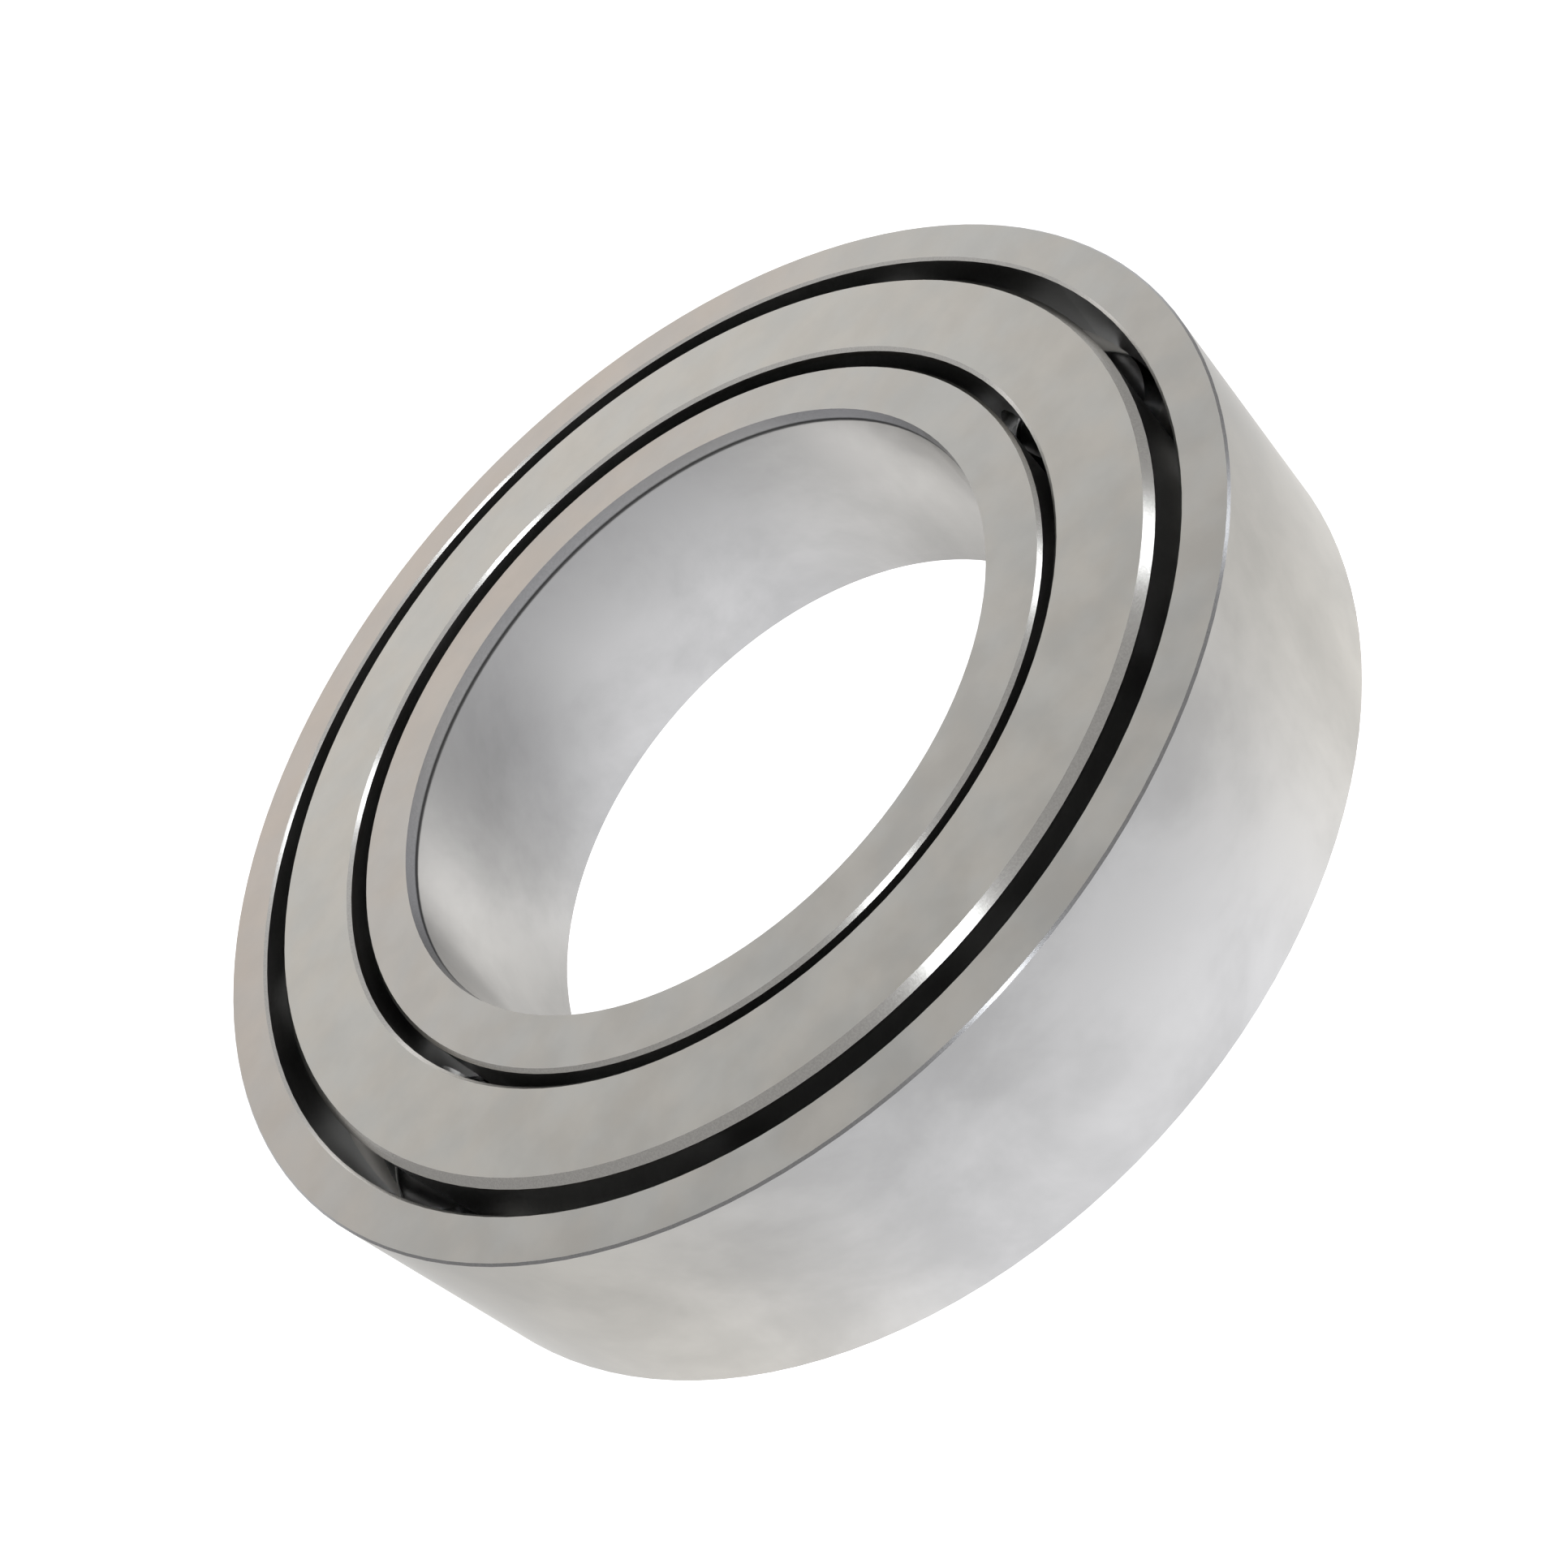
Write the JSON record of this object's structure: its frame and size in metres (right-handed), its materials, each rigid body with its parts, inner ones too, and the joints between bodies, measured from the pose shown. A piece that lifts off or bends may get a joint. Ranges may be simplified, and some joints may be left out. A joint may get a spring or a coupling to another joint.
{
  "type": "deep groove ball bearing",
  "caption": "Open deep groove ball bearing with a solid steel cage that fills the space between inner and outer ring, bored for a shaft.",
  "frame": {"origin": "centre of the rear side face, on the bearing axis", "axes": "+Z along the bearing axis, from the cage's riveted side towards its plain side"},
  "size_m": [0.068, 0.068, 0.0153],
  "materials": {
    "ring_steel": "ground bearing steel, satin",
    "ball_steel": "polished bearing steel with a film of oil",
    "cage_steel": "fine turned steel, satin",
    "rivet_steel": "plain steel, headed and faced off"
  },
  "bodies": {
    "outer": {"outer_ring": "ring_steel"},
    "inner": {"inner_ring": "ring_steel"},
    "cage": {"cage_comb": "cage_steel", "cage_cover": "cage_steel", "cage_rivets": "rivet_steel"},
    "ball_01": {"ball_01": "ball_steel"},
    "ball_02": {"ball_02": "ball_steel"},
    "ball_03": {"ball_03": "ball_steel"},
    "ball_04": {"ball_04": "ball_steel"},
    "ball_05": {"ball_05": "ball_steel"},
    "ball_06": {"ball_06": "ball_steel"},
    "ball_07": {"ball_07": "ball_steel"},
    "ball_08": {"ball_08": "ball_steel"},
    "ball_09": {"ball_09": "ball_steel"}
  },
  "joints": [
    {"name": "inner_spin", "type": "hinge", "parent": "outer", "child": "inner", "pos_m": [0, 0, 0.0075], "axis": [0, 0, 1], "continuous": true},
    {"name": "cage_spin", "type": "hinge", "parent": "outer", "child": "cage", "pos_m": [0, 0, 0.0075], "axis": [0, 0, 1], "continuous": true},
    {"name": "ball_01_roll", "type": "hinge", "parent": "cage", "child": "ball_01", "pos_m": [0.02272, 0.01487, 0.0075], "axis": [0, 0, 1], "continuous": true},
    {"name": "ball_02_roll", "type": "hinge", "parent": "cage", "child": "ball_02", "pos_m": [0.00785, 0.02599, 0.0075], "axis": [0, 0, 1], "continuous": true},
    {"name": "ball_03_roll", "type": "hinge", "parent": "cage", "child": "ball_03", "pos_m": [-0.0107, 0.02495, 0.0075], "axis": [0, 0, 1], "continuous": true},
    {"name": "ball_04_roll", "type": "hinge", "parent": "cage", "child": "ball_04", "pos_m": [-0.02423, 0.01224, 0.0075], "axis": [0, 0, 1], "continuous": true},
    {"name": "ball_05_roll", "type": "hinge", "parent": "cage", "child": "ball_05", "pos_m": [-0.02643, -0.0062, 0.0075], "axis": [0, 0, 1], "continuous": true},
    {"name": "ball_06_roll", "type": "hinge", "parent": "cage", "child": "ball_06", "pos_m": [-0.01626, -0.02174, 0.0075], "axis": [0, 0, 1], "continuous": true},
    {"name": "ball_07_roll", "type": "hinge", "parent": "cage", "child": "ball_07", "pos_m": [0.00152, -0.02711, 0.0075], "axis": [0, 0, 1], "continuous": true},
    {"name": "ball_08_roll", "type": "hinge", "parent": "cage", "child": "ball_08", "pos_m": [0.01859, -0.01979, 0.0075], "axis": [0, 0, 1], "continuous": true},
    {"name": "ball_09_roll", "type": "hinge", "parent": "cage", "child": "ball_09", "pos_m": [0.02696, -0.00321, 0.0075], "axis": [0, 0, 1], "continuous": true}
  ],
  "couplings": [
    {"joint": "cage_spin", "follows": "inner_spin", "ratio": 0.40864},
    {"joint": "ball_01_roll", "follows": "inner_spin", "ratio": -2.645},
    {"joint": "ball_02_roll", "follows": "inner_spin", "ratio": -2.645},
    {"joint": "ball_03_roll", "follows": "inner_spin", "ratio": -2.645},
    {"joint": "ball_04_roll", "follows": "inner_spin", "ratio": -2.645},
    {"joint": "ball_05_roll", "follows": "inner_spin", "ratio": -2.645},
    {"joint": "ball_06_roll", "follows": "inner_spin", "ratio": -2.645},
    {"joint": "ball_07_roll", "follows": "inner_spin", "ratio": -2.645},
    {"joint": "ball_08_roll", "follows": "inner_spin", "ratio": -2.645},
    {"joint": "ball_09_roll", "follows": "inner_spin", "ratio": -2.645}
  ]
}
